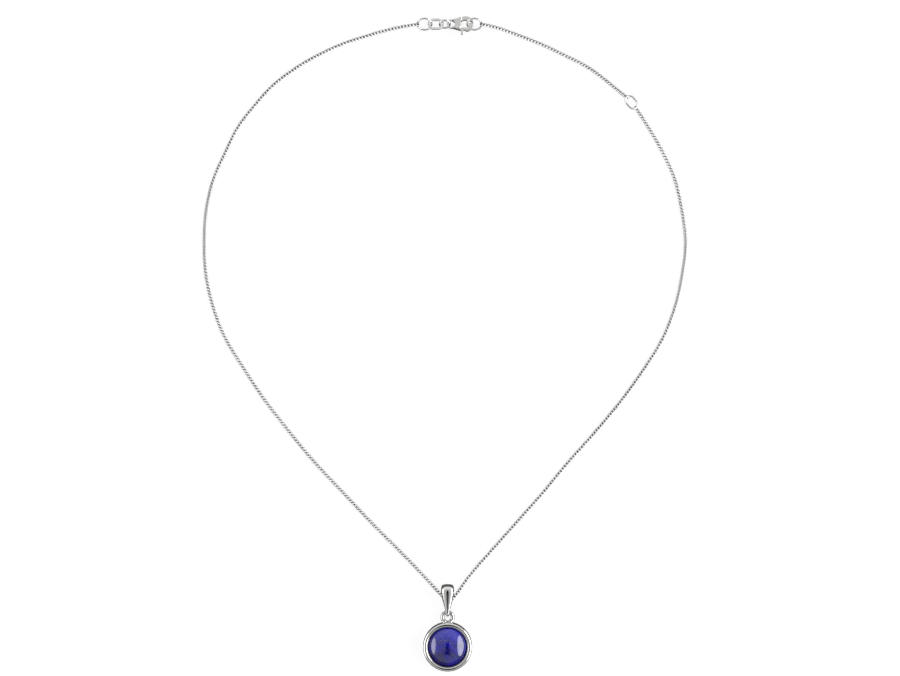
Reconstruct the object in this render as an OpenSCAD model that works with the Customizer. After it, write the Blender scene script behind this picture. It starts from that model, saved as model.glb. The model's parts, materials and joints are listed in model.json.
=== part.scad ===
// Pendant necklace: a round cabochon in a rimmed bezel hangs by a bail from a fine chain.
// It lies flat, stone up, with the origin under the middle of the stone. +Y runs to the clasp.

/* [Stone and bezel] */
// Diameter of the round cabochon
stone_d = 12; // [9:0.5:16]
// Height of the cabochon from its flat base to the top of its dome
stone_h = 4.4; // [3.5:0.1:6]
// Height of the cabochon's straight edge under the dome
stone_edge = 1.2; // [0.8:0.1:1.8]
// Thickness of the bezel's wall beside the stone
bezel_wall = 0.95; // [0.6:0.05:1.4]
// How far the bezel's rounded rim reaches in over the stone
rim_lap = 0.4; // [0.2:0.05:0.7]
// Thickness of the back plate under the stone
plate_t = 0.8; // [0.5:0.1:1.2]

/* [Loop and bail] */
// Outer diameter of the round loop soldered on top of the bezel
loop_d = 4; // [3.4:0.1:5]
// Thickness of the loop's wire
loop_wire = 1.05; // [0.8:0.05:1.2]
// Length of the bail from its tip to its top fold
bail_l = 9.3; // [8.5:0.1:11]
// Width of the bail just below its top fold
bail_w = 3.7; // [3:0.1:4.6]
// Width of the bail near its tip
bail_tip_w = 0.9; // [0.7:0.05:1.1]
// Thickness of the bail from front to back at its top fold
bail_depth = 4; // [3.6:0.1:4.6]
// Thickness of the bail's folded strip
bail_strip = 0.5; // [0.35:0.05:0.6]

/* [Chain] */
// Width of the chain loop at its widest, from chain to chain
chain_loop_w = 137.5; // [110:0.5:165]
// Length of the chain loop, from the bail to the clasp
chain_loop_l = 164.5; // [132:0.5:197]
// Pitch of the chain, from one link to the next
link_pitch = 0.95; // [0.8:0.05:1.25]
// Thickness of the chain's wire
link_wire = 0.28; // [0.2:0.02:0.34]

/* [Rings and clasp] */
// Outer diameter of the rings that end the chain
end_ring_d = 4.5; // [4:0.1:5.4]
// Thickness of the end rings' wire
end_ring_wire = 0.45; // [0.35:0.05:0.5]
// Length of the oval adjuster ring
adjuster_l = 4.5; // [4:0.1:5.4]
// Width of the oval adjuster ring
adjuster_w = 3.3; // [2.8:0.1:3.8]
// Outer diameter of the small jump ring at the clasp
jump_ring_d = 3.4; // [3.2:0.1:4]
// Thickness of the small jump ring's wire
jump_wire = 0.5; // [0.4:0.05:0.55]
// Length of the plain oval tag
tag_l = 4.6; // [4.2:0.1:5.4]
// Width of the plain oval tag
tag_w = 3.4; // [3.2:0.1:4]
// Thickness of the tag's plate
tag_t = 0.4; // [0.3:0.05:0.5]
// Width of the tag's slot
tag_slot_w = 2; // [1.8:0.1:2.2]
// Thickness of the clasp's body at the rivet
clasp_t = 1.5; // [1.4:0.1:2]
// Thickness of the clasp's hook
hook_t = 0.8; // [0.7:0.05:0.9]
// Thickness of the clasp's lever
lever_t = 0.7; // [0.5:0.05:0.8]
// Diameter of the lever's rivet
rivet_d = 0.5; // [0.4:0.05:0.6]

/* [Fits] */
// Gap between interlocked wires
link_gap = 0.06; // [0.05:0.01:0.1]
// Gap between the rings, the tag and the clasp where one holds the next
row_gap = 0.16; // [0.14:0.01:0.2]
// Gap between the soldered or set pieces of the pendant
set_gap = 0.02; // [0.01:0.01:0.05]
// Gap between the bail and the wire of the loop inside it
bail_gap = 0.2; // [0.18:0.01:0.25]
// Gap round the rivet in the lever's bore
rivet_gap = 0.03; // [0.02:0.01:0.05]
// Gap beside the lever in the clasp's slot
lever_gap = 0.05; // [0.04:0.01:0.1]

/* [Hidden] */
silver = "silver";
bright_silver = "gainsboro";
satin_silver = "lightgray";
lapis = "midnightblue";
round_fn = 96;
ring_fn = 72;
wire_fn = 32;
link_fn = 36;
link_wire_fn = 20;
through = 30;                      // longer than any piece that it cuts through
past = 1;                          // how far a cut runs past a piece's edge

// Stone and bezel, measured from the middle of the back plate's underside
stone_r = stone_d / 2;
stone_top = plate_t + stone_h;
dome_h = stone_h - stone_edge;
dome_r = (stone_r * stone_r + dome_h * dome_h) / (2 * dome_h);
dome_z = stone_top - dome_r;
bezel_r = stone_r + set_gap + bezel_wall;
rim_r = (bezel_wall + set_gap + rim_lap) / 2;
rim_lip_r = bezel_r - 2 * rim_r;
rim_z = dome_z + sqrt(dome_r * dome_r - rim_lip_r * rim_lip_r);

// Loop on the bezel, and the bail that hooks it
solder_lap = 0.66;                 // how far the loop's outline runs into the bezel's
loop_r = (loop_d - loop_wire) / 2;
loop_y = bezel_r + loop_d / 2 - solder_lap;
hook_y = loop_y + loop_r;          // where the bail holds the loop's wire
bail_tip_r = loop_wire / 2 + bail_gap + bail_strip;
bail_top_r = bail_depth / 2;
loop_z = bail_tip_r;               // so that the bail's back lies flat on what it rests on
bail_y0 = hook_y - bail_tip_r;
bail_y1 = bail_y0 + bail_l;

// One round link of the chain. Each is turned 45 degrees about the chain, left and right in turn
link_r = (link_pitch + link_wire + link_gap) / 2;
link_half = link_r * cos(45) + link_wire / 2;
chain_y = hook_y + 3.2;            // the lowest point of the chain, inside the bail
bail_float = 0.45;                 // gap between the chain and the back of the bail
bail_lift = bail_strip + bail_float;
row_y = chain_y + chain_loop_l;    // the line that the clasp and its rings lie on
ring_tilt = 45;
jump_tilt = 50;
tag_tilt = -15;
clasp_tilt = -12;
end_ring_r = (end_ring_d - end_ring_wire) / 2;
row_z = end_ring_r * sin(ring_tilt) + end_ring_wire / 2;
row_lift = row_z - link_half;

// Clasp, from its tail eye at x = 0 to the end of its hook, with the rivet as the lever's pivot
clasp_x = -0.2;
clasp_l = 7.6;
head_r = 2.25;
head_x = clasp_l - head_r;
cheek = 0.9;                       // how far before the head's middle the neck's sides reach it
neck_x = 1.5;                      // where the clasp's full thickness starts
neck_w = 2.3;
eye_r = 1.4;
eye_wall = 0.45;
eye_t = 0.5;
eye_lap = 0.1;                     // how far the eye's flat bar runs into the neck
mouth_r = 1.1;
mouth_x = 5.1;
hook_from = 4.2;
pivot = [3.4, -1];
heel_r = 0.5;
gate_reach = 2.25;
gate_y = [-1.95, -1.12];
gate_from = 3.95;
slot_w = 1.4;                      // the slot that the lever lies in, open at the clasp's edge
slot_y = [-3, -0.25];
gate_open_y = -0.3;                // how far in the gate cut runs, so that the lever can swing
nub_x = 4.3;
nub_r = 0.32;
nub_y = -2.85;
spring_wire = 0.16;
spring_r = 0.42;
spring_at = [3.1, 0.1];
rivet_head_r = 0.42;
rivet_head_h = 0.1;

// Places along the row, each ring drawn out to the wire that it holds
jump_r = (jump_ring_d - jump_wire) / 2;
jump_x = clasp_x + eye_wall + row_gap + jump_wire / 2 - jump_r;
tag_bar = 0.75;
tag_x = jump_x - jump_r + jump_wire / 2 + row_gap + tag_bar - tag_l / 2;
left_ring_x = tag_x - tag_l / 2 + tag_bar + row_gap + end_ring_wire / 2 - end_ring_r;
right_ring_x = clasp_x + mouth_x + mouth_r - row_gap - end_ring_wire / 2 + end_ring_r;

// How far a ring's wire lies short of the end of the chain's route
wire_to_end = link_pitch / 2 - (link_r - link_wire / 2 - link_gap - end_ring_wire / 2);

// The chain's route, from the left end ring down to the bail and up to the adjuster ring.
// A point is [x, y, lift]: lift 0 lies flat, and 1 is as high as the bail or the clasp holds it.
route_w = 137.5;
route_l = 164.5;
left_side = [
    [-13.5, 163.7, 0.7], [-18.5, 162.6, 0.3], [-24, 161, 0], [-29.5, 159.2, 0], [-35, 156.8, 0],
    [-42, 153, 0], [-49.5, 147.5, 0], [-55.5, 141, 0], [-60, 135, 0], [-63.5, 128, 0],
    [-67, 120, 0], [-69, 111, 0], [-69.5, 102, 0], [-69, 93, 0], [-67, 84, 0], [-63.5, 75, 0],
    [-58, 66, 0], [-52, 57, 0], [-45, 48, 0], [-37.5, 39, 0], [-29, 30, 0], [-20.5, 21, 0]
];
front_side = [[-11.5, 12, 0], [-6.5, 6.8, 0.5], [-2, 2, 1], [0.4, 0, 1], [2.2, 1.5, 1],
              [6, 6.8, 0.5], [10.5, 12, 0]];
right_side = [
    [18.5, 21, 0], [26.5, 30, 0], [34, 39, 0], [42, 48, 0], [49.5, 57, 0], [56, 66, 0],
    [61.5, 75, 0], [65, 84, 0], [67, 93, 0], [68, 102, 0], [67, 111, 0], [65, 120, 0],
    [61.5, 128, 0], [57.5, 135, 0]
];
extender = [[47.8, 146.5, 0], [43.5, 150, 0], [39, 153, 0], [33, 156, 0], [28, 158.4, 0],
            [22.5, 160.6, 0.1], [17, 162.6, 0.4], [13, 163.8, 0.8]];
adjuster_at = [52.5, 142.3];
adjuster_turn = 131;
adjuster_tilt = 20;
adjuster_bend = (adjuster_w - end_ring_wire) / 2;
adjuster_z = adjuster_bend * sin(adjuster_tilt) + end_ring_wire / 2 + 0.05;
adjuster_half = (adjuster_l - end_ring_wire) / 2;

function placed(p, lift) = [p.x * chain_loop_w / route_w, chain_y + p.y * chain_loop_l / route_l,
                            link_half + p.z * lift];
adjuster_c = placed([adjuster_at.x, adjuster_at.y, 0], 0);
adjuster_dir = [cos(adjuster_turn), sin(adjuster_turn)];
function by_adjuster(s) = [adjuster_c.x + s * adjuster_dir.x, adjuster_c.y + s * adjuster_dir.y,
                           adjuster_z];

main_route = concat(
    [[left_ring_x - end_ring_r + wire_to_end, row_y, row_z]],
    [for (p = left_side) placed(p, row_lift)],
    [for (p = front_side) placed(p, bail_lift)],
    [for (p = right_side) placed(p, row_lift)],
    [by_adjuster(wire_to_end - adjuster_half)]
);
extender_route = concat(
    [by_adjuster(adjuster_half - wire_to_end)],
    [for (p = extender) placed(p, row_lift)],
    [[right_ring_x + end_ring_r - wire_to_end, row_y, row_z]]
);

// The route's point where each section of the chain ends, on the fold lines across the loop
left_folds = [0, 6, 9, 11, 13, 15, 17, 19, 21, 23];
right_folds = [29, 31, 33, 35, 37, 39, 41, 43, 44];
extender_folds = [0, 3, 9];

// A smooth curve through the route's points, and the places of the links along it
steps = 8;
function curve(a, b, c, d, t) = 0.5 * (2 * b + (c - a) * t + (2 * a - 5 * b + 4 * c - d) * t * t
                                       + (3 * b - a - 3 * c + d) * t * t * t);
function at(route, i) = route[max(0, min(len(route) - 1, i))];
function drawn(route, i0, i1) = concat(
    [for (i = [i0:i1 - 1], k = [0:steps - 1])
        curve(at(route, i - 1), at(route, i), at(route, i + 1), at(route, i + 2), k / steps)],
    [at(route, i1)]
);
function run(line, i = 0, s = 0) = i == len(line) - 1 ? [s]
    : concat([s], run(line, i + 1, s + norm(line[i + 1] - line[i])));
function step_of(far, s, i = 0) = i >= len(far) - 2 || far[i + 1] >= s ? i : step_of(far, s, i + 1);
function spot(line, far, s) =
    let (i = step_of(far, s), t = (s - far[i]) / (far[i + 1] - far[i]))
    [line[i] + t * (line[i + 1] - line[i]), line[i + 1] - line[i]];

module ring(radius, wire) {
    rotate_extrude($fn = ring_fn) translate([radius, 0]) circle(d = wire, $fn = wire_fn);
}

// Along the row, on its line and turned about it
module in_row(x, tilt) {
    translate([x, row_y, row_z]) rotate([tilt, 0, 0]) children();
}

module stone_section(grow) {
    intersection() {
        translate([0, plate_t - grow]) square([stone_r + grow, stone_h + 2 * grow]);
        translate([0, dome_z]) circle(r = dome_r + grow, $fn = 4 * round_fn);
    }
}

module cabochon() {
    color(lapis) rotate_extrude($fn = round_fn) stone_section(0);
}

module bezel() {
    color(bright_silver) rotate_extrude($fn = round_fn) difference() {
        union() {
            translate([rim_lip_r, plate_t]) square([2 * rim_r, rim_z - plate_t]);
            translate([rim_lip_r + rim_r, rim_z]) circle(r = rim_r, $fn = wire_fn);
        }
        stone_section(set_gap);
    }
}

module back_plate() {
    color(satin_silver) cylinder(r = bezel_r, h = plate_t, $fn = round_fn);
}

module pendant_loop() {
    color(bright_silver) difference() {
        translate([0, loop_y, loop_z]) ring(loop_r, loop_wire);
        cylinder(r = bezel_r + set_gap, h = through, center = true, $fn = round_fn);
    }
}

// Side view of the bail's folded strip, drawn with x for y and y for z
module bail_side(grow) {
    hull() {
        translate([hook_y, bail_tip_r]) circle(r = bail_tip_r + grow, $fn = 48);
        translate([bail_y1 - bail_top_r, bail_top_r]) circle(r = bail_top_r + grow, $fn = 48);
    }
}

module bail_front() {
    shoulder_y = bail_y1 - bail_depth / 2;
    polygon([
        [-bail_tip_w / 2, bail_y0 - past], [bail_tip_w / 2, bail_y0 - past],
        [bail_tip_w / 2 + 0.05, hook_y - loop_wire / 2], [bail_w * 0.29, hook_y + 1.5],
        [bail_w * 0.41, hook_y + 3.4], [bail_w / 2, shoulder_y],
        [bail_w * 0.47, bail_y1 - 0.5], [bail_w * 0.38, bail_y1 + past],
        [-bail_w * 0.38, bail_y1 + past], [-bail_w * 0.47, bail_y1 - 0.5],
        [-bail_w / 2, shoulder_y], [-bail_w * 0.41, hook_y + 3.4],
        [-bail_w * 0.29, hook_y + 1.5], [-bail_tip_w / 2 - 0.05, hook_y - loop_wire / 2]
    ]);
}

module bail() {
    color(bright_silver) intersection() {
        rotate([90, 0, 90]) linear_extrude(bail_w + 2 * past, center = true) difference() {
            bail_side(0);
            bail_side(-bail_strip);
        }
        linear_extrude(through, center = true) bail_front();
    }
}

// The links between two points of a route, an even number, turned one way and the other
module chain(route, i0, i1, first = 1) {
    line = drawn(route, i0, i1);
    far = run(line);
    length = far[len(far) - 1];
    count = 2 * ceil(length / link_pitch / 2);
    color(silver) for (i = [0:count - 1]) {
        here = spot(line, far, (i + 0.5) * length / count);
        along = here[1];
        translate(here[0])
            rotate([0, -atan2(along.z, norm([along.x, along.y])), atan2(along.y, along.x)])
            rotate([first * (i % 2 == 0 ? 45 : -45), 0, 0])
            rotate_extrude($fn = link_fn) translate([link_r, 0]) circle(d = link_wire, $fn = link_wire_fn);
    }
}

module left_chain(k) {
    chain(main_route, left_folds[9 - k], left_folds[10 - k]);
}

module right_chain(k) {
    chain(main_route, right_folds[k - 1], right_folds[k]);
}

// Two half rings and two straight wires, joined end to end
module adjuster_ring() {
    straight = adjuster_half - adjuster_bend;
    color(silver) translate([adjuster_c.x, adjuster_c.y, adjuster_z])
        rotate([0, 0, adjuster_turn]) rotate([adjuster_tilt, 0, 0]) {
            for (side = [0, 180]) rotate([0, 0, side]) {
                translate([straight, 0, 0]) rotate([0, 0, -90])
                    rotate_extrude(angle = 180, $fn = ring_fn)
                    translate([adjuster_bend, 0]) circle(d = end_ring_wire, $fn = wire_fn);
                translate([-straight, adjuster_bend, 0]) rotate([0, 90, 0])
                    cylinder(d = end_ring_wire, h = 2 * straight, $fn = wire_fn);
            }
        }
}

module left_end_ring() {
    color(silver) in_row(left_ring_x, ring_tilt) ring(end_ring_r, end_ring_wire);
}

module right_end_ring() {
    color(silver) in_row(right_ring_x, ring_tilt) ring(end_ring_r, end_ring_wire);
}

module jump_ring() {
    color(silver) in_row(jump_x, jump_tilt) ring(jump_r, jump_wire);
}

// A flat bar with round ends, along x
module oval(length, width, height) {
    straight = (length - width) / 2;
    for (side = [-1, 1]) translate([side * straight, 0, 0])
        cylinder(d = width, h = height, center = true, $fn = ring_fn);
    cube([2 * straight, width, height], center = true);
}

module plain_tag() {
    color(satin_silver) in_row(tag_x, tag_tilt) difference() {
        oval(tag_l, tag_w, tag_t);
        oval(tag_l - 2 * tag_bar, tag_slot_w, 2 * tag_t);
    }
}

module clasp_head() {
    translate([head_x, 0]) circle(r = head_r, $fn = round_fn);
    cheek_y = sqrt(head_r * head_r - cheek * cheek);
    polygon([[neck_x, neck_w / 2], [neck_x, -neck_w / 2], [head_x - cheek, -cheek_y],
             [head_x - cheek, cheek_y]]);
}

module clasp_body() {
    pin_r = rivet_d / 2 + set_gap;
    color(bright_silver) in_row(clasp_x, clasp_tilt) difference() {
        union() {
            linear_extrude(clasp_t, center = true) intersection() {
                clasp_head();
                square([2 * hook_from, through], center = true);
            }
            linear_extrude(hook_t, center = true) clasp_head();
            linear_extrude(eye_t, center = true) {
                translate([eye_r, 0]) circle(r = eye_r, $fn = ring_fn);
                translate([eye_r, -neck_w / 2]) square([neck_x + eye_lap - eye_r, neck_w]);
            }
        }
        translate([eye_r, 0]) cylinder(r = eye_r - eye_wall, h = through, center = true, $fn = ring_fn);
        translate([mouth_x, 0]) cylinder(r = mouth_r, h = through, center = true, $fn = ring_fn);
        translate([mouth_x, 0]) cube([2 * mouth_r - 0.1, 1.5 * mouth_r, through], center = true);
        intersection() {
            translate(pivot) cylinder(r = gate_reach + lever_gap, h = through, center = true, $fn = round_fn);
            translate([gate_from, gate_open_y - 5, -5]) cube([5, 5, 10]);
        }
        translate([pivot.x, pivot.y, 0]) cylinder(r = pin_r, h = through, center = true, $fn = wire_fn);
        for (slot = [[pivot, heel_r + lever_gap], [spring_at, spring_r + spring_wire / 2 + lever_gap]])
            translate(slot[0]) cylinder(r = slot[1], h = lever_t + 2 * lever_gap, center = true, $fn = ring_fn);
        translate([pivot.x - lever_gap, slot_y[0], -lever_t / 2 - lever_gap])
            cube([slot_w + lever_gap, slot_y[1] - slot_y[0], lever_t + 2 * lever_gap]);
    }
}

module clasp_lever() {
    color(satin_silver) in_row(clasp_x, clasp_tilt) difference() {
        linear_extrude(lever_t, center = true) {
            translate(pivot) circle(r = heel_r, $fn = ring_fn);
            intersection() {
                translate([pivot.x, gate_y[0]]) square([4, gate_y[1] - gate_y[0]]);
                translate(pivot) circle(r = gate_reach, $fn = round_fn);
            }
            translate([nub_x - nub_r, nub_y]) square([2 * nub_r, gate_y[0] - nub_y + 0.2]);
            translate([nub_x, nub_y]) circle(r = nub_r, $fn = wire_fn);
        }
        translate(pivot) cylinder(d = rivet_d + 2 * rivet_gap, h = through, center = true, $fn = wire_fn);
    }
}

module lever_rivet() {
    color(silver) in_row(clasp_x, clasp_tilt) translate(pivot) {
        cylinder(d = rivet_d, h = clasp_t, center = true, $fn = wire_fn);
        for (side = [0, 180]) rotate([side, 0, 0]) translate([0, 0, clasp_t / 2])
            cylinder(r = rivet_head_r, h = rivet_head_h, $fn = wire_fn);
    }
}

module lever_spring() {
    color("dimgray") in_row(clasp_x, clasp_tilt) translate(spring_at) rotate([0, 0, -20])
        rotate_extrude(angle = 290, $fn = ring_fn) translate([spring_r, 0])
        circle(d = spring_wire, $fn = 16);
}

cabochon();
bezel();
back_plate();
pendant_loop();
bail();
chain(main_route, left_folds[9], right_folds[0]);  // front_chain
for (k = [1:9]) left_chain(k);
for (k = [1:8]) right_chain(k);
adjuster_ring();
for (k = [1:2]) chain(extender_route, extender_folds[k - 1], extender_folds[k], -1);
left_end_ring();
right_end_ring();
plain_tag();
jump_ring();
clasp_body();
clasp_lever();
lever_rivet();
lever_spring();
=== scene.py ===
"""Pendant necklace: a blue cabochon in a polished silver bezel on a fine curb chain, laid out flat."""

import json
import math
import random

import bmesh
import bpy
import numpy as np
from mathutils import Matrix, Vector


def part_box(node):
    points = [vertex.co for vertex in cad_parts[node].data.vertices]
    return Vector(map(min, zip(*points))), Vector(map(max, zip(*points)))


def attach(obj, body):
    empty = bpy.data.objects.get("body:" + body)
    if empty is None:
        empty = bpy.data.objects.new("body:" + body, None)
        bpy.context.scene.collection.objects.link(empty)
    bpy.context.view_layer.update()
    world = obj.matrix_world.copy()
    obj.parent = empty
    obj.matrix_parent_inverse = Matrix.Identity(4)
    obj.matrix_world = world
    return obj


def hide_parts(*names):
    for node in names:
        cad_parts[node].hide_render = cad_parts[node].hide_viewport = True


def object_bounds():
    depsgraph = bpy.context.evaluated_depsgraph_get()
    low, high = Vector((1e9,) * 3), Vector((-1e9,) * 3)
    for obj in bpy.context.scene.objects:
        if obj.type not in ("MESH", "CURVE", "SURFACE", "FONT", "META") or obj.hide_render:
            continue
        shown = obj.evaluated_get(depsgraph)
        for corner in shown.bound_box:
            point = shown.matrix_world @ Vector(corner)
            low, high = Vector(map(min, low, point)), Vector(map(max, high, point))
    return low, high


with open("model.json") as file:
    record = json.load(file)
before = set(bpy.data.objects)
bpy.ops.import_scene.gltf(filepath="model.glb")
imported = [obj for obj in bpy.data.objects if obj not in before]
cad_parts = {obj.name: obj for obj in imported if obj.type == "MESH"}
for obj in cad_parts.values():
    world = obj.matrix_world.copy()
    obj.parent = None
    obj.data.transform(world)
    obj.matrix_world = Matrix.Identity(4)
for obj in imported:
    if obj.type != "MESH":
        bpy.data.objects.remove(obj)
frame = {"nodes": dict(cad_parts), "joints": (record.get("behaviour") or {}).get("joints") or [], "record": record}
cad_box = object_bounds()
MM = 0.001
CHAIN_WORD = "_chain"

# ---------------------------------------------------------------- camera

VIEW_W = 257.2 * MM                # width of the view on the necklace's plane
EYE_X, EYE_Y = 1.45 * MM, 1.6 * MM  # how far off the necklace's middle the lens is
LENS = 100.0
SENSOR = 36.0


def add_camera():
    """Looks straight down on the necklace, as it is laid out on the table."""
    low, high = Vector(cad_box[0]), Vector(cad_box[1])
    eye = Vector(((low.x + high.x) / 2 + EYE_X, (low.y + high.y) / 2 + EYE_Y, 0))
    eye.z = VIEW_W * LENS / SENSOR
    data = bpy.data.cameras.new("camera")
    data.lens = LENS
    data.sensor_width = SENSOR
    data.clip_start = 0.01
    data.clip_end = 20.0
    camera = bpy.data.objects.new("camera", data)
    camera.location = eye
    bpy.context.scene.collection.objects.link(camera)
    bpy.context.scene.camera = camera


add_camera()

# ---------------------------------------------------------------- places, from the frame

def joint(name):
    """A joint as the frame gives it, such as its place and axis."""
    return next(j for j in frame["joints"] if j["name"] == name)


def thinnest_way(points):
    """The direction in which points spread least, turned to point up."""
    way = Vector(np.linalg.svd(points - points.mean(0), full_matrices=False)[2][2])
    return way if way.z > 0 else -way


def points_of(node):
    """The vertices of a CAD node, as rows."""
    return np.array([v.co for v in frame["nodes"][node].data.vertices], float)


def lying(node, along=None):
    """Where a flat piece lies: x along it, z out of its face, its middle at the origin."""
    points = points_of(node)
    spread = np.linalg.svd(points - points.mean(0), full_matrices=False)[2]
    up = thinnest_way(points)
    x = Vector(along) if along else Vector(spread[0])
    x = (x - up * x.dot(up)).normalized()
    low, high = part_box(node)
    turned = Matrix((x, up.cross(x), up)).transposed().to_4x4()
    turned.translation = (low + high) / 2
    return turned


ROW = (1, 0, 0)                    # the clasp, the tag and their rings follow one line
stone_low, stone_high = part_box("cabochon")
bezel_low, bezel_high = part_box("bezel")
bail_low, bail_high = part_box("bail")
loop_low, loop_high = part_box("pendant_loop")
STONE_R = stone_high.x
BEZEL_R = bezel_high.x
EDGE_H = 1.2 * MM                  # the stone's straight edge under its dome
DOME_H = stone_high.z - stone_low.z - EDGE_H
DOME_R = (STONE_R ** 2 + DOME_H ** 2) / (2 * DOME_H)
RIM_LAP = 0.4 * MM
RIM_R = (BEZEL_R - STONE_R + RIM_LAP) / 2


# ---------------------------------------------------------------- materials

class Socket:
    """A shader value that ordinary Python operators work on."""

    def __init__(self, nodes, link):
        self.nodes, self.link = nodes, link

    def maths(self, operation, *values):
        return self.nodes.add("ShaderNodeMath", {"operation": operation}, dict(enumerate(values)))

    def __add__(self, other):
        return self.maths("ADD", self, other)

    __radd__ = __add__

    def __sub__(self, other):
        return self.maths("SUBTRACT", self, other)

    def __rsub__(self, other):
        return self.maths("SUBTRACT", other, self)

    def __mul__(self, other):
        return self.maths("MULTIPLY", self, other)

    __rmul__ = __mul__

    def __abs__(self):
        return self.maths("ABSOLUTE", self)

    def above(self, low, high):
        """0 below low, 1 above high, and a smooth step between."""
        return self.nodes.add("ShaderNodeMapRange", {"interpolation_type": "SMOOTHSTEP"},
                              {"Value": self, "From Min": low, "From Max": high})


class Nodes:
    """The nodes of a material, or of the studio's light."""

    def __init__(self, data):
        data.use_nodes = True
        self.data, self.tree = data, data.node_tree

    def set_sockets(self, node, values):
        for key, value in values.items():
            socket = node.inputs[key]
            if isinstance(value, Socket):
                self.tree.links.new(value.link, socket)
            else:
                socket.default_value = value

    def add(self, kind, settings=None, values=None, output=0):
        """A new node: its type, its settings, its sockets' values or links, and the output to use."""
        node = self.tree.nodes.new(kind)
        for key, value in (settings or {}).items():
            setattr(node, key, value)
        self.set_sockets(node, values or {})
        return Socket(self, node.outputs[output])

    def place(self, scale=1.0, stretch=(1, 1, 1)):
        """The place on the piece, in millimetres times scale."""
        here = self.add("ShaderNodeTexCoord", output=3)
        sizes = tuple(1000.0 * scale * s for s in stretch)
        return self.add("ShaderNodeVectorMath", {"operation": "MULTIPLY"}, {0: here, 1: sizes})

    def noise(self, scale, detail=3.0, stretch=(1, 1, 1), distortion=0.0):
        return self.add("ShaderNodeTexNoise", {}, {
            "Vector": self.place(scale, stretch), "Scale": 1.0, "Detail": detail,
            "Distortion": distortion})

    def cells(self, scale, stretch=(1, 1, 1), feature="F1"):
        return self.add("ShaderNodeTexVoronoi", {"feature": feature}, {
            "Vector": self.place(scale, stretch), "Scale": 1.0})

    def mix(self, factor, first, second):
        return self.add("ShaderNodeMix", {"data_type": "RGBA"}, {0: factor, 6: first, 7: second}, output=2)

    def bump(self, height, distance, strength=1.0):
        return self.add("ShaderNodeBump", {}, {
            "Height": height, "Distance": distance * MM, "Strength": strength})


class Finish(Nodes):
    """A material, with the sockets that are the same all over the surface."""

    def __init__(self, name, **constants):
        super().__init__(bpy.data.materials.new(name))
        self.shader = self.tree.nodes["Principled BSDF"]
        self.set_sockets(self.shader, constants)

    def wear(self, **links):
        """Sets what changes over the surface."""
        self.set_sockets(self.shader, links)


def colour(red, green, blue):
    return (red, green, blue, 1.0)


WHITE = colour(1, 1, 1)
# painted shade: the near-black colour that darkens link crossings, the groove by the stone and the loop's inside
PAINTED_SHADE = colour(0.035, 0.035, 0.04)


def silver(name, light, dark, smooth, rough, hairlines, grain, dimple, shade_strength=0.0):
    """Silver with fine polishing lines. Its least rubbed spots are darker, and its hollows are darkened with
    painted shade.
    """
    finish = Finish(name, Metallic=1.0)
    cloud = finish.noise(0.9, 4.0).above(0.35, 0.7)
    lines = finish.noise(hairlines, 2.0, stretch=grain).above(0.3, 0.75)
    shade = finish.mix(cloud * 0.5, light, dark)
    if shade_strength:
        # painted shade, mixed in as far as the piece's shade mark says
        shade_mark = finish.add("ShaderNodeAttribute", {"attribute_name": "shade_mark"}, output=2)
        shade = finish.mix(shade_mark * shade_strength, shade, PAINTED_SHADE)
    height = lines + finish.noise(hairlines * 0.2, 2.0) * 0.6
    finish.wear(**{
        "Base Color": shade,
        "Roughness": lines * (rough - smooth) + smooth,
        "Normal": finish.bump(height, dimple, 0.35),
    })
    return finish.data


def lapis():
    """Deep blue stone: pale clouds, small pyrite flecks and a few purple veins under a glassy polish."""
    finish = Finish("lapis_polished", **{"Coat Weight": 1.0, "Coat Roughness": 0.015, "Coat IOR": 1.76,
                                         "Specular IOR Level": 0.1})
    deep, blue = colour(0.0006, 0.0003, 0.09), colour(0.003, 0.0015, 0.44)
    pale, grey = colour(0.05, 0.045, 0.52), colour(0.14, 0.14, 0.32)
    purple, pyrite = colour(0.10, 0.02, 0.10), colour(0.26, 0.235, 0.15)
    cloud = finish.noise(0.28, 5.0, distortion=0.8).above(0.36, 0.64)
    mottle = finish.noise(1.3, 6.0, distortion=0.4)
    height = finish.add("ShaderNodeSeparateXYZ", {}, {0: finish.place()}, output=1)
    upper = (height + finish.noise(0.5) * 3.0 - 1.5).above(-4.0, 5.5)
    base = finish.mix(cloud * 0.55 + upper * 0.45, deep, blue)
    base = finish.mix(mottle.above(0.5, 0.8) * (upper * 0.7), base, pale)
    wisps = finish.noise(0.55, 7.0, stretch=(1, 1.7, 1), distortion=1.6).above(0.60, 0.74)
    base = finish.mix(wisps * upper * 0.4, base, grey)
    lower = 1 - upper
    vein = finish.cells(0.33, (1.6, 0.6, 1), "DISTANCE_TO_EDGE").above(0.0, 0.045)
    patch = finish.noise(0.42, 2.0).above(0.5, 0.62)
    base = finish.mix((1 - vein) * patch * lower * 0.7, base, purple)
    where = finish.noise(0.5, 3.0).above(0.38, 0.55)
    crumbs = 1 - finish.cells(2.0).above(0.14, 0.30)
    specks = 1 - finish.cells(4.0).above(0.16, 0.34)
    gold = crumbs * where + specks * finish.noise(0.9, 2.0).above(0.42, 0.56)
    gold = gold.maths("MINIMUM", gold, 1.0)
    base = finish.mix(gold * (upper * 0.4 + 0.35), base, pyrite)
    finish.wear(**{
        "Base Color": base,
        "Metallic": gold * 0.4,
        "Roughness": 0.42 - gold * 0.12,
        "Normal": finish.bump(finish.noise(0.7, 2.0) + gold * 0.12, 0.012, 0.3),
    })
    return finish.data


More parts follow.
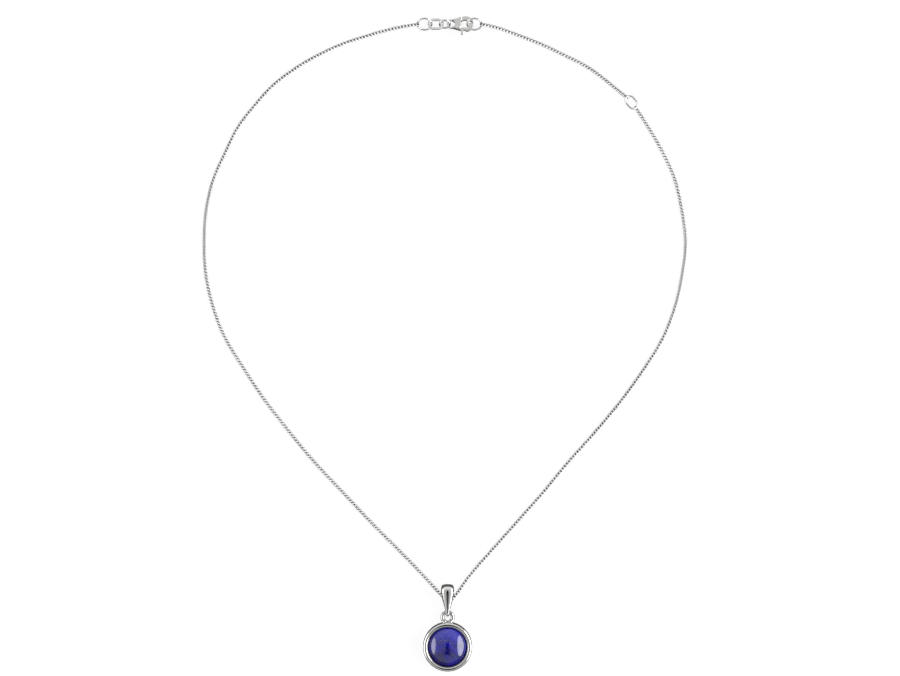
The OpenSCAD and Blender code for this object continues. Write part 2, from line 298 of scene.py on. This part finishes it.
def floor_white():
    """A pale sweep, thin enough to show what folds down behind it."""
    finish = Finish("floor_white", Roughness=0.75)
    cloud = finish.noise(0.01, 2.0)
    finish.wear(**{"Base Color": finish.mix(cloud, colour(0.86, 0.86, 0.86), colour(0.9, 0.9, 0.9))})
    seen = finish.add("ShaderNodeLightPath")
    glow = finish.add("ShaderNodeEmission", {}, {"Color": WHITE, "Strength": FLOOR_GLOW})
    dim = finish.add("ShaderNodeEmission", {}, {"Color": WHITE, "Strength": FLOOR_BOUNCE})
    clear = finish.add("ShaderNodeBsdfTransparent")
    matt = Socket(finish, finish.shader.outputs[0])
    lit = finish.add("ShaderNodeMixShader", {}, {0: FLOOR_GLOWING, 1: matt, 2: glow})
    both = finish.add("ShaderNodeMixShader", {}, {0: seen, 1: dim, 2: lit})
    thin = finish.add("ShaderNodeMixShader", {}, {0: FLOOR_CLEAR, 1: both, 2: clear})
    finish.tree.links.new(thin.link, finish.tree.nodes["Material Output"].inputs[0])
    return finish.data


FLOOR_GLOW, FLOOR_BOUNCE = 1.12, 0.13       # brightness to the lens, and to what reflects it
FLOOR_GLOWING, FLOOR_CLEAR = 0.72, 0.35     # shares of its look that glow, and that let light through
BRIGHT, GREYED = colour(0.93, 0.925, 0.91), colour(0.80, 0.80, 0.795)
FINISHES = {
    "polished_silver": silver("silver_mirror_polish", BRIGHT, GREYED, 0.035, 0.075, 7.0, (1, 4, 1), 0.004,
                              shade_strength=0.9),
    "satin_silver": silver("silver_satin", BRIGHT, GREYED, 0.26, 0.42, 16.0, (1, 9, 9), 0.02),
    "ring_silver": silver("silver_drawn_wire", BRIGHT, GREYED, 0.08, 0.17, 9.0, (1, 3, 1), 0.006),
    "chain_silver": silver("silver_curb_links", colour(0.95, 0.95, 0.945), colour(0.82, 0.82, 0.82),
                           0.28, 0.38, 11.0, (1, 2, 1), 0.008, shade_strength=0.97),
    "cast_silver": silver("silver_tumbled_casting", BRIGHT, GREYED, 0.16, 0.28, 5.0, (1, 1, 1), 0.012),
    "spring_steel": silver("steel_spring_wire", colour(0.5, 0.5, 0.52), colour(0.3, 0.3, 0.32),
                           0.2, 0.35, 12.0, (1, 5, 1), 0.008),
    "lapis": lapis(),
}
SLOT_OF = {part["node"]: part["material_slot"] for part in frame["record"]["subparts"]}


# ---------------------------------------------------------------- making pieces

def body_of(node):
    """The body that carries a CAD node."""
    return next(b for b, nodes in frame["record"]["behaviour"]["bodies"].items() if node in nodes)


def mesh_piece(name, vertices, faces, node):
    """A new piece that stands for a CAD node, with its finish and its body."""
    mesh = bpy.data.meshes.new(name)
    mesh.from_pydata([tuple(v) for v in vertices], [], faces)
    mesh.validate()
    return piece_from(mesh, name, node)


def piece_from(mesh, name, node):
    """Makes a mesh the piece that stands for a CAD node."""
    mesh.polygons.foreach_set("use_smooth", [True] * len(mesh.polygons))
    obj = bpy.data.objects.new(name, mesh)
    bpy.context.scene.collection.objects.link(obj)
    mesh.materials.clear()
    mesh.materials.append(FINISHES[SLOT_OF[node]])
    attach(obj, body_of(node))
    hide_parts(node)
    return obj


def mark_painted_shade(obj, shade_amounts):
    """How dark the painted shade is at each vertex: the deeper in the piece's hollows, the darker."""
    mark = obj.data.attributes.new("shade_mark", "FLOAT", "POINT")
    mark.data.foreach_set("value", shade_amounts)


def grid_faces(rows, columns, close_columns=True):
    """Quads over rows of vertices that close in a ring. The columns may close too."""
    faces = []
    for i in range(rows):
        for j in range(columns if close_columns else columns - 1):
            a, b = i * columns, ((i + 1) % rows) * columns
            k = (j + 1) % columns
            faces.append((a + j, b + j, b + k, a + k))
    return faces


def weld(mesh, gap):
    """Joins vertices that lie on each other and turns every face outward."""
    work = bmesh.new()
    work.from_mesh(mesh)
    bmesh.ops.remove_doubles(work, verts=work.verts, dist=gap)
    bmesh.ops.recalc_face_normals(work, faces=work.faces)
    work.to_mesh(mesh)
    work.free()


LATHE_TURNS = 192
WELD_GAP, FINE_GAP = 1e-7, 1e-8             # vertices nearer than this are one, in metres


def lathe(name, node, outline):
    """A closed outline of (radius, height) points, turned about the Z axis."""
    vertices = []
    for t in range(LATHE_TURNS):
        a = 2 * math.pi * t / LATHE_TURNS
        vertices += [(r * math.cos(a), r * math.sin(a), z) for r, z in outline]
    mesh = bpy.data.meshes.new(name)
    mesh.from_pydata(vertices, [], grid_faces(LATHE_TURNS, len(outline)))
    weld(mesh, WELD_GAP)
    return piece_from(mesh, name, node)


def arc(centre, radius, start, end, count):
    """Points on an arc, with angles in degrees, as (across, up)."""
    angles = [math.radians(start + (end - start) * i / (count - 1)) for i in range(count)]
    return [(centre[0] + radius * math.cos(a), centre[1] + radius * math.sin(a)) for a in angles]


def tube(path, radius_at, frames, sides):
    """Rings of a closed tube: path points, each with its own two cross directions."""
    vertices = []
    for i, (p, (u, v)) in enumerate(zip(path, frames)):
        r = radius_at(i / len(path))
        for s in range(sides):
            a = 2 * math.pi * s / sides
            vertices.append(p + r * (math.cos(a) * u + math.sin(a) * v))
    return vertices, grid_faces(len(path), sides)


# ---------------------------------------------------------------- chain

LINK_A, LINK_B = 0.60 * MM, 0.38 * MM      # half length and half width of a link, to the wire's middle
LINK_WIRE = 0.30 * MM
LINK_TWIST = math.radians(47)
LINK_STEPS, LINK_SIDES = 26, 9
LINK_FLAT = 0.255 * MM                     # where the filed faces of the links lie
LINK_DROP = 0.30 * MM                      # how much lower a flat link lies than the stand-in ring
LINK_SWAY, LINK_SWAY_EVERY = math.radians(5), 23
LINK_TURN = 2                              # most degrees that a link lies off its neighbours' turn
INSIDE_SLOPE, INSIDE_START, INSIDE_DARK = 2.2, 1.2, 0.9    # painted shade on the inside of a link's oval
END_SLOPE, END_START = 3.4, 2.1                            # painted shade at its two ends, where the next links cross it
CHAIN_SEED = 18
LIES_AT, HELD_AT = 0.65 * MM, 1.2 * MM     # middle heights of a link that lies flat, and of one held up


def twisted_link():
    """One curb link along x: an oval of wire, twisted along its length, with filed faces."""
    path, frames = [], []
    for i in range(LINK_STEPS):
        t = 2 * math.pi * i / LINK_STEPS
        x, across = LINK_A * math.cos(t), LINK_B * math.sin(t)
        turn = LINK_TWIST * math.cos(t)
        path.append(Vector((x, across * math.cos(turn), across * math.sin(turn))))
    for i, p in enumerate(path):
        way = (path[(i + 1) % LINK_STEPS] - path[i - 1]).normalized()
        out = (p - way * p.dot(way)).normalized()
        frames.append((out, way.cross(out)))
    vertices, faces = tube(path, lambda s: LINK_WIRE / 2, frames, LINK_SIDES)
    # painted shade where the wire faces the link's hole and where the neighbouring links cross its ends
    shade_mark = []
    for i in range(LINK_STEPS):
        end = abs(math.cos(2 * math.pi * i / LINK_STEPS))
        for s in range(LINK_SIDES):
            inward = 0.5 - 0.5 * math.cos(2 * math.pi * s / LINK_SIDES)
            inside = max(0.0, INSIDE_SLOPE * inward - INSIDE_START) * INSIDE_DARK
            shade_mark.append(min(1.0, inside + max(0.0, END_SLOPE * end - END_START)))
    vertices = [Vector((v.x, v.y, max(-LINK_FLAT, min(LINK_FLAT, v.z)))) for v in vertices]
    return np.array([tuple(v) for v in vertices]), faces, shade_mark


def islands(node):
    """The middles of the separate links of a chain node."""
    work = bmesh.new()
    work.from_mesh(frame["nodes"][node].data)
    bmesh.ops.remove_doubles(work, verts=work.verts, dist=FINE_GAP)
    seen, middles = set(), []
    for start in work.verts:
        if start in seen:
            continue
        stack, group = [start], []
        seen.add(start)
        while stack:
            v = stack.pop()
            group.append(v.co)
            for e in v.link_edges:
                w = e.other_vert(v)
                if w not in seen:
                    seen.add(w)
                    stack.append(w)
        low = Vector([min(c[k] for c in group) for k in range(3)])
        high = Vector([max(c[k] for c in group) for k in range(3)])
        middles.append((low + high) / 2)
    work.free()
    return middles


def in_order(middles):
    """The links' middles from one end of the section to the other."""
    far = max(middles, key=lambda p: (p - middles[0]).length)
    line, rest = [far], [p for p in middles if p is not far]
    while rest:
        near = min(rest, key=lambda p: (p - line[-1]).length)
        line.append(near)
        rest.remove(near)
    return line


def chain_section(node, link):
    """One section of chain: a link at each place where the CAD node has one."""
    shape, faces, shade_mark = link
    line = in_order(islands(node))
    if line[0].x > line[-1].x:
        line.reverse()
    vertices, all_faces = [], []
    for i, p in enumerate(line):
        before, after = line[max(0, i - 1)], line[min(len(line) - 1, i + 1)]
        x = (after - before).normalized()
        y = Vector((0, 0, 1)).cross(x).normalized()
        held = max(0.0, min(1.0, (p.z - LIES_AT) / (HELD_AT - LIES_AT)))
        sway = LINK_SWAY * math.sin(2 * math.pi * i / LINK_SWAY_EVERY)
        spin = sway + math.radians(random.uniform(-LINK_TURN, LINK_TURN))
        turned = np.array(Matrix.Rotation(spin, 3, x) @ Matrix((x, y, x.cross(y))).transposed())
        middle = np.array(p) - np.array((0, 0, LINK_DROP * (1 - held)))
        first = len(vertices)
        vertices += list(shape @ turned.T + middle)
        all_faces += [tuple(first + k for k in f) for f in faces]
    piece = mesh_piece(node.replace(CHAIN_WORD, "_curb_links"), vertices, all_faces, node)
    mark_painted_shade(piece, shade_mark * len(line))


def chain():
    """All of the chain's sections."""
    random.seed(CHAIN_SEED)
    link = twisted_link()
    for node in sorted(n for n in frame["nodes"] if CHAIN_WORD in n):
        chain_section(node, link)


# ---------------------------------------------------------------- pendant

def cabochon():
    """A high dome on a short straight edge, with its foot bevelled to sit in the bezel."""
    centre = stone_high.z - DOME_R
    edge_angle = math.degrees(math.acos(STONE_R / DOME_R))
    dome = arc((0, centre), DOME_R, 90, edge_angle, 48)
    foot = 0.15 * MM
    outline = dome + [(STONE_R, stone_low.z + foot), (STONE_R - foot, stone_low.z), (0, stone_low.z)]
    outline[0] = (0, stone_high.z)
    lathe("cabochon_stone", "cabochon", outline)


def bezel():
    """A rounded wall that ends in a thin burnished lip, pressed over the stone."""
    middle = (BEZEL_R - RIM_R, bezel_high.z - RIM_R)
    wall_in = STONE_R + 0.02 * MM
    foot = 0.12 * MM
    groove = 0.07 * MM
    lip_r = 0.13 * MM
    over = arc(middle, RIM_R, 0, 128, 30)
    valley = (over[-1][0] - groove, over[-1][1] - groove * 1.3)
    lip_at = (valley[0] - lip_r * 0.8, valley[1] - lip_r * 0.1)
    lip = arc(lip_at, lip_r, 80, 235, 9)
    low = bezel_low.z
    outline = ([(BEZEL_R - foot, low), (BEZEL_R - foot * 0.3, low + foot * 0.3), (BEZEL_R, low + foot)]
               + over + [valley] + lip
               + [(wall_in, middle[1] - RIM_R * 0.75), (wall_in, low)])
    obj = lathe("bezel_ring", "bezel", outline)
    shade_start, fade, darkest = middle[0] - RIM_R * 0.5, RIM_R * 0.3, 0.85     # painted shade in the groove by the stone
    from_axis = [math.hypot(v.co.x, v.co.y) for v in obj.data.vertices]
    mark_painted_shade(obj, [max(0.0, min(darkest, (shade_start - r) / fade)) for r in from_axis])


def back_plate():
    """A flat back with a softly broken edge and a shallow dished middle."""
    low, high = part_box("back_plate")
    edge, dish_r, dish_depth, rings = 0.14 * MM, BEZEL_R * 0.8, 0.03 * MM, 6
    corner = arc((BEZEL_R - edge, low.z + edge), edge, -90, 0, 7)
    shares = [i / rings for i in range(rings + 1)]
    dish = [(dish_r * share, low.z + dish_depth * (1 - share ** 2)) for share in shares]
    lathe("back_plate_disc", "back_plate", dish + corner + [(BEZEL_R, high.z), (0, high.z)])


RING_STEPS, RING_SIDES = 96, 20
SEAM_SWELL, SEAM_WIDTH = 0.05, 9.0         # how much thicker the solder is, and its half width in degrees


def ring(name, node, wire, seam=90.0, along=ROW):
    """A ring of round wire, a little thicker where it was soldered shut."""
    at = lying(node, along)
    points = (np.array(at.inverted()) @ np.c_[points_of(node), np.ones(len(points_of(node)))].T)[:3]
    half_x, half_y = np.ptp(points[0]) / 2 - wire / 2, np.ptp(points[1]) / 2 - wire / 2
    straight = max(0.0, half_x - half_y)
    path, frames = [], []
    for i in range(RING_STEPS):
        a = 2 * math.pi * i / RING_STEPS
        out = Vector((math.cos(a), math.sin(a), 0))
        path.append(out * half_y + Vector((math.copysign(straight, math.cos(a)), 0, 0)))
        frames.append((out, Vector((0, 0, 1))))

    def thick(s):
        turned = (360 * s - seam + 180) % 360 - 180
        return wire / 2 * (1 + SEAM_SWELL * math.exp(-(turned / SEAM_WIDTH) ** 2))

    vertices, faces = tube(path, thick, frames, RING_SIDES)
    return mesh_piece(name, [at @ v for v in vertices], faces, node)


LOOP_STEPS, LOOP_SIDES = 112, 24
FOOT_AT, FOOT_WIDTH = 38, 13.0             # degrees from the loop's lowest point to the solder's edge
FOOT_SWELL, LOOP_WEAR = 0.22, 0.04         # how much thicker the solder is, and how worn the loop
LOOP_DARK, LOOP_DARKER = 0.22, 0.7         # darkening all over the loop, and painted shade on its inside on top of it


def pendant_loop():
    """A round loop of thick wire that runs out into solder where it meets the bezel."""
    wire = loop_high.z - loop_low.z
    radius = loop_high.x - wire / 2
    centre = Vector((0, loop_high.y - wire / 2 - radius, (loop_low.z + loop_high.z) / 2))
    path, frames = [], []
    for i in range(LOOP_STEPS):
        a = 2 * math.pi * i / LOOP_STEPS
        out = Vector((math.cos(a), math.sin(a), 0))
        path.append(centre + out * radius)
        frames.append((out, Vector((0, 0, 1))))

    def thick(s):
        from_foot = (360 * s - 270 + 180) % 360 - 180
        foot = math.exp(-((abs(from_foot) - FOOT_AT) / FOOT_WIDTH) ** 2)
        return wire / 2 * (1 + FOOT_SWELL * foot - LOOP_WEAR * math.cos(math.radians(from_foot * 2)))

    vertices, faces = tube(path, thick, frames, LOOP_SIDES)
    obj = mesh_piece("pendant_loop_ring", vertices, faces, "pendant_loop")
    # painted shade on the loop's inside, facing its hole, over an even darkening of the whole loop
    inward = [max(0.0, -math.cos(2 * math.pi * s / LOOP_SIDES)) for s in range(LOOP_SIDES)]
    mark_painted_shade(obj, [LOOP_DARK + LOOP_DARKER * depth for depth in inward] * LOOP_STEPS)


BAIL_STRIP = 0.5 * MM                      # thickness of the strip
BAIL_NARROW = 0.9 * MM                     # its width at the tip
BAIL_WIDEST_AT, BAIL_TAPER = 0.80, 1.9     # where along it is widest, and how steeply it narrows below
BAIL_TOP_TAPER = 0.10                      # how much narrower it is at the fold
BAIL_CROWN, BAIL_CROWN_EDGE = 0.13, 0.75   # how domed it is, and how its dome falls at the edges
BAIL_INSIDE = 0.55                         # how far the inside follows the dome
BAIL_EDGE = 7                              # the higher, the squarer the strip's edges
BAIL_ACROSS = 23


def bail():
    """A tapered strip, domed across and folded over, closed at its tip round the loop's wire."""
    length, depth = bail_high.y - bail_low.y, bail_high.z
    swing = joint("pendant_swing")["pos_m"]
    tip_r = swing[2]
    tip = Vector((0, swing[1], tip_r))
    top_r = depth / 2
    top = Vector((0, bail_high.y - top_r, top_r))
    widest = bail_high.x - bail_low.x
    lean = math.degrees(math.asin((top_r - tip_r) / (top.y - tip.y)))
    front = 90 + lean

    def out_from(centre, radius, angle):
        """A point of the outer outline, as y, z and the way it faces."""
        a = math.radians(angle)
        return centre.y + radius * math.cos(a), centre.z + radius * math.sin(a), angle

    shares = np.linspace(0, 1, 26)[1:-1]
    sides = [out_from(top, top_r, angle) for angle in np.linspace(-90, front, 30)]
    sides += [out_from(top + (tip - top) * t, top_r + (tip_r - top_r) * t, front) for t in shares]
    sides += [out_from(tip, tip_r, angle) for angle in np.linspace(front, 270, 18)]
    sides += [(tip.y + (top.y - tip.y) * t, 0.0, 270) for t in shares]
    vertices = []
    for y, z, angle in sides:
        share = max(0.0, min(1.0, (y - bail_low.y) / length))
        opened = math.sin(min(1.0, share / BAIL_WIDEST_AT) * math.pi / 2) ** BAIL_TAPER
        width = BAIL_NARROW + (widest - BAIL_NARROW) * opened
        width *= 1 - BAIL_TOP_TAPER * max(0.0, (share - BAIL_WIDEST_AT) / (1 - BAIL_WIDEST_AT)) ** 2
        out = Vector((0, math.cos(math.radians(angle)), math.sin(math.radians(angle))))
        spine = Vector((0, y, z)) - out * BAIL_STRIP / 2
        crown = BAIL_CROWN * width * (1 + math.sin(math.radians(angle))) / 2
        outer, inner = [], []
        for k in range(BAIL_ACROSS):
            u = -1 + 2 * k / (BAIL_ACROSS - 1)
            half = BAIL_STRIP / 2 * math.sqrt(max(0.0, 1 - abs(u) ** BAIL_EDGE))
            drop = crown * (u ** 2 + BAIL_CROWN_EDGE * u ** 6)
            at = spine + Vector((u * width / 2, 0, 0))
            outer.append(at + out * (half - drop))
            inner.append(at + out * (-half - drop * BAIL_INSIDE))
        vertices += outer + inner[::-1][1:-1]
    columns = 2 * BAIL_ACROSS - 2
    mesh_piece("bail_strip", vertices, grid_faces(len(sides), columns), "bail")


# ---------------------------------------------------------------- clasp and its row

END_WIRE, JUMP_WIRE = 0.45 * MM, 0.5 * MM
SOFT_SCALE = 1000.0                # the cast pieces are softened in millimetres


def soften(name, node, voxel, rounds):
    """A cast piece: the frame's shape, with its edges tumbled soft."""
    source = frame["nodes"][node].data.copy()
    source.transform(Matrix.Scale(SOFT_SCALE, 4))
    work = bpy.data.objects.new("work", source)
    bpy.context.scene.collection.objects.link(work)
    remesh = work.modifiers.new("remesh", "REMESH")
    remesh.mode = "VOXEL"
    remesh.voxel_size = voxel
    relax = work.modifiers.new("relax", "SMOOTH")
    relax.iterations = rounds
    relax.factor = 0.5
    bpy.context.view_layer.update()
    shape = work.evaluated_get(bpy.context.evaluated_depsgraph_get())
    mesh = bpy.data.meshes.new_from_object(shape)
    mesh.transform(Matrix.Scale(1 / SOFT_SCALE, 4))
    mesh.name = name
    bpy.data.objects.remove(work)
    return piece_from(mesh, name, node)


def rivet():
    """A short pin with two low domed heads, set flush in the clasp's sides."""
    points = points_of("lever_rivet")
    press = joint("lever_press")
    axis, centre = Vector(press["axis"]), Vector(press["pos_m"])
    spans = (points - np.array(centre)) @ np.array(axis)
    reach = float(np.abs(spans).max())
    off = points - np.array(centre) - np.outer(spans, np.array(axis))
    head_r = float(np.linalg.norm(off, axis=1).max())
    pin_r, head_h = head_r * 0.6, reach * 0.12
    half = [(0, reach), (head_r * 0.5, reach - head_h * 0.15), (head_r * 0.85, reach - head_h * 0.5),
            (head_r, reach - head_h), (pin_r, reach - head_h)]
    outline = half + [(r, -h) for r, h in reversed(half)]
    turned = axis.to_track_quat("Z", "Y").to_matrix().to_4x4()
    turned.translation = centre
    vertices, turns = [], 40
    for t in range(turns):
        a = 2 * math.pi * t / turns
        vertices += [turned @ Vector((r * math.cos(a), r * math.sin(a), h)) for r, h in outline]
    faces = grid_faces(turns, len(outline), close_columns=False)
    piece = mesh_piece("lever_rivet_pin", vertices, faces, "lever_rivet")
    weld(piece.data, FINE_GAP)


def spring():
    """The lever's spring keeps its frame shape and gets its steel."""
    node = frame["nodes"]["lever_spring"]
    node.data.materials.clear()
    node.data.materials.append(FINISHES["spring_steel"])


# ---------------------------------------------------------------- table and light

def studio():
    """A white tent with a slit overhead for the lens, and two tall softboxes. Only reflections show
    them: behind the table, the lens sees a plain white backdrop."""
    made = bpy.data.worlds.new("studio")
    light = Nodes(made)
    way = light.add("ShaderNodeTexCoord", output=0)
    x, y, z = (light.add("ShaderNodeSeparateXYZ", {}, {0: way}, output=axis) for axis in range(3))
    side = abs(x)
    near = y.maths("MAXIMUM", 0 - y, 0.0)          # how far to the near side of the table
    slit = 1 - (side - near * SLIT_SPREAD).above(*SLIT_X)
    slit = slit * (1 - y.above(*SLIT_END)) * y.above(*SLIT_START) * z.above(*SLIT_LOW)
    foot = (1 - z.above(*FOOT_TOP)) * FOOT_DEPTH
    right = x.above(*RIGHT_HALF)                   # the right softbox is nearer, so it looks bigger
    box = (side + right * BOX_WIDER).above(*BOX_X) * z.above(*BOX_LOW) * (right * BOX_BRIGHTER + 1)
    box = box * (1 - (z - right * BOX_TALLER).above(*BOX_HIGH))
    box = box * (1 - abs(y).above(*BOX_WIDTH))
    tent = (TENT_LIGHT + y * TENT_LEAN - z.above(*TENT_TOP) * TENT_FALL) * (1 - foot)
    strength = tent * (1 - slit) + box * BOX_LIGHT
    seen = light.add("ShaderNodeLightPath")
    shown = strength * (1 - seen) + seen * BACKDROP_LIGHT
    light.set_sockets(light.tree.nodes["Background"], {0: WHITE, 1: shown})
    bpy.context.scene.world = made


def floor():
    """The table, just under the lowest link."""
    half = 2.5
    mesh = bpy.data.meshes.new("floor")
    mesh.from_pydata([(-half, -half, 0), (half, -half, 0), (half, half, 0), (-half, half, 0)], [],
                     [(0, 1, 2, 3)])
    mesh.materials.append(floor_white())
    obj = bpy.data.objects.new("floor", mesh)
    obj.location.z = -FLOOR_GAP
    bpy.context.scene.collection.objects.link(obj)


FLOOR_GAP = 0.02 * MM
TENT_LIGHT, TENT_FALL = 0.72, 0.26          # brightness low in the tent, and its fall to the top
TENT_LEAN = 0.16                            # how much brighter it is beyond the necklace
BOX_LIGHT = 3.2
BACKDROP_LIGHT = 1.0

# Edges in the studio, as parts of a direction of length one: where each starts and where it ends.
SLIT_X, SLIT_START, SLIT_END = (0.10, 0.15), (-0.66, -0.56), (0.25, 0.40)
SLIT_LOW = (0.3, 0.5)
SLIT_SPREAD = 0.12                          # how much wider the slit gets to the near side
FOOT_TOP, FOOT_DEPTH = (0.04, 0.24), 0.92   # the dark foot of the tent
TENT_TOP = (0.4, 1.0)
BOX_X, BOX_LOW, BOX_HIGH = (0.80, 0.86), (0.16, 0.20), (0.54, 0.58)
BOX_WIDTH = (0.60, 0.64)
RIGHT_HALF = (-0.1, 0.1)
BOX_WIDER, BOX_TALLER, BOX_BRIGHTER = 0.12, 0.14, 0.35      # the right softbox against the left

chain()
cabochon()
bezel()
back_plate()
pendant_loop()
bail()
ring("left_end_ring_wire", "left_end_ring", END_WIRE, seam=180)
ring("right_end_ring_wire", "right_end_ring", END_WIRE, seam=0)
ring("jump_ring_wire", "jump_ring", JUMP_WIRE)
ring("adjuster_ring_wire", "adjuster_ring", END_WIRE, along=None)
soften("tag_plate", "plain_tag", voxel=0.05, rounds=6)
soften("clasp_casting", "clasp_body", voxel=0.05, rounds=9)
soften("clasp_lever_arm", "clasp_lever", voxel=0.04, rounds=5)
rivet()
spring()

studio()
floor()
bpy.context.scene.view_settings.view_transform = "Standard"
